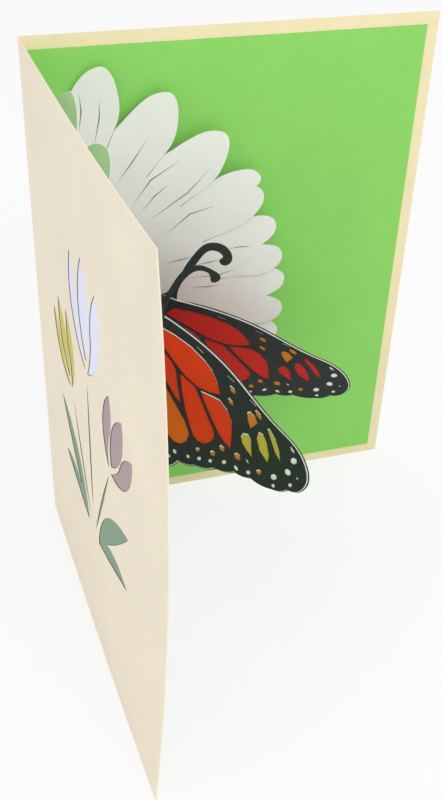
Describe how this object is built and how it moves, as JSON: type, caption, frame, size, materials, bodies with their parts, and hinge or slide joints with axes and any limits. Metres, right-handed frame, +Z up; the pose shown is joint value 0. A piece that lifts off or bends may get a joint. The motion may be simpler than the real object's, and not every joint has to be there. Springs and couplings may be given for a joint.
{
  "type": "pop up card",
  "caption": "Open folded greeting card that stands on its lower edges, with a paper daisy in its fold and a raised paper butterfly with cut-out wings on the daisy.",
  "frame": {"origin": "middle of the bounding box of the open card, at the level of the card's lower edges", "axes": "+Z up along the card's fold, -Y out of the open side, +X towards the back page's side"},
  "size_m": [0.2082, 0.1186, 0.2],
  "materials": {
    "cover_card": "matt",
    "inlay_white": "matt",
    "inlay_mustard": "matt",
    "inlay_mauve": "matt",
    "inlay_sage": "matt",
    "sheet_green": "matt",
    "petal_white": "matt",
    "centre_yellow": "matt",
    "strut_white": "matt",
    "wing_black": "matt",
    "wing_orange": "matt"
  },
  "bodies": {
    "root": {"cover": "cover_card", "front_inlays_white": "inlay_white", "front_inlays_mustard": "inlay_mustard", "front_inlays_mauve": "inlay_mauve", "front_inlays_sage": "inlay_sage", "inner_sheet": "sheet_green", "daisy_petals": "petal_white", "daisy_centre": "centre_yellow", "back_strut": "strut_white", "front_strut": "strut_white", "butterfly_body": "wing_black", "right_wing_outer_lattice": "wing_black", "right_wing_core": "wing_orange", "right_wing_inner_lattice": "wing_black", "left_wing_outer_lattice": "wing_black", "left_wing_core": "wing_orange", "left_wing_inner_lattice": "wing_black"}
  },
  "joints": []
}
